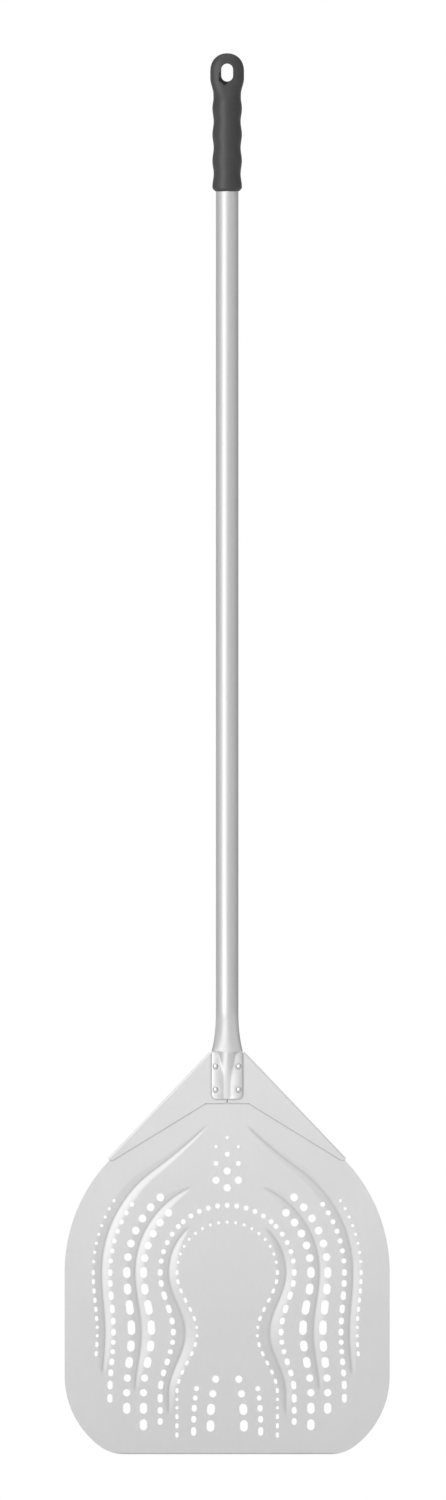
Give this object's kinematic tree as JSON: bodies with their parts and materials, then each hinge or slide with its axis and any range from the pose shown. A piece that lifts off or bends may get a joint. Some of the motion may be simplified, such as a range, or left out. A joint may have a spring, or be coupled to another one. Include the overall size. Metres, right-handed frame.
{
  "type": "pizza peel",
  "caption": "Perforated aluminium pizza peel: embossed, slotted blade with folded shoulders, long tube handle riveted on, moulded black grip with hanging slot.",
  "frame": {"origin": "middle of the blade's front edge, halfway through the sheet", "axes": "+Z from the front edge up the handle to the grip, +X across the blade, -Y out of the food side"},
  "size_m": [0.36, 0.032, 1.5518],
  "materials": {
    "blade_sheet": "fine matt anodised sheet",
    "handle_tube": "satin anodised tube",
    "rivets": "bright round heads",
    "grip": "fine-grained black moulded plastic"
  },
  "bodies": {
    "root": {"blade": "blade_sheet", "handle_tube": "handle_tube", "rivets": "rivets", "grip": "grip"}
  },
  "joints": []
}
